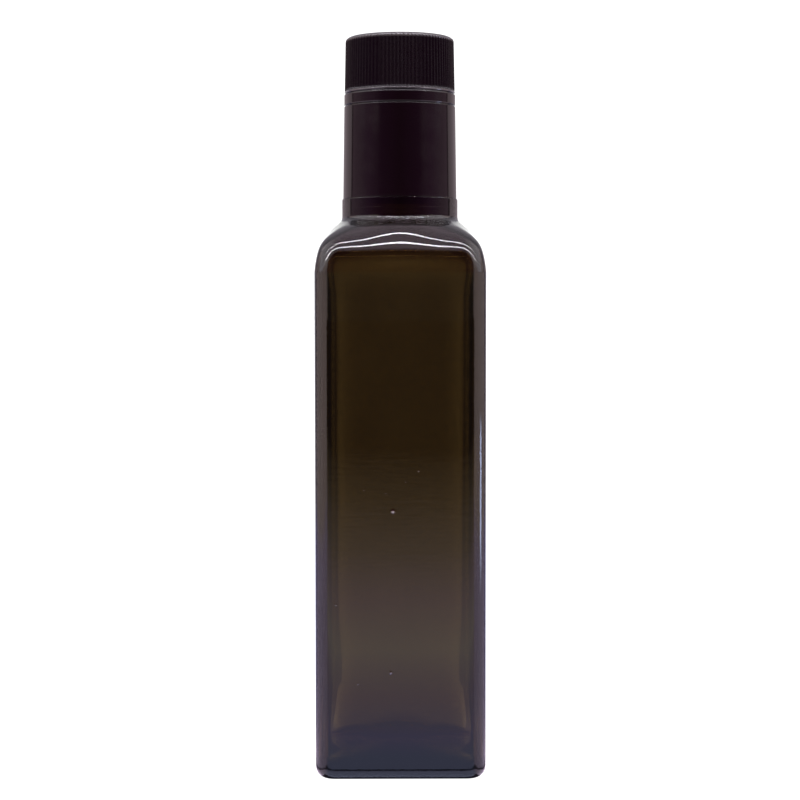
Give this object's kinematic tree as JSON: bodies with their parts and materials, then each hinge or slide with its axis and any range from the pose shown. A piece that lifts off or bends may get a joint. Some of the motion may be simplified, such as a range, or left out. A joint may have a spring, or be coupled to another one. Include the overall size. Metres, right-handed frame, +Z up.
{
  "type": "marasca bottle",
  "caption": "Square dark glass oil bottle with rounded corners and a sloping shoulder, closed by a ribbed black cap over a smooth tamper band and a long neck sleeve.",
  "frame": {"origin": "middle of the base, on the plane that the bottle stands on", "axes": "+Z up the bottle's axis to the cap; the flat sides face +X, -X, +Y and -Y"},
  "size_m": [0.0478, 0.0478, 0.2086],
  "materials": {
    "bottle_glass": "smooth, glossy, dark olive green",
    "closure_plastic": "black, semi-gloss"
  },
  "bodies": {
    "root": {"glass_bottle": "bottle_glass", "screw_cap": "closure_plastic", "tamper_band": "closure_plastic", "neck_sleeve": "closure_plastic"}
  },
  "joints": []
}
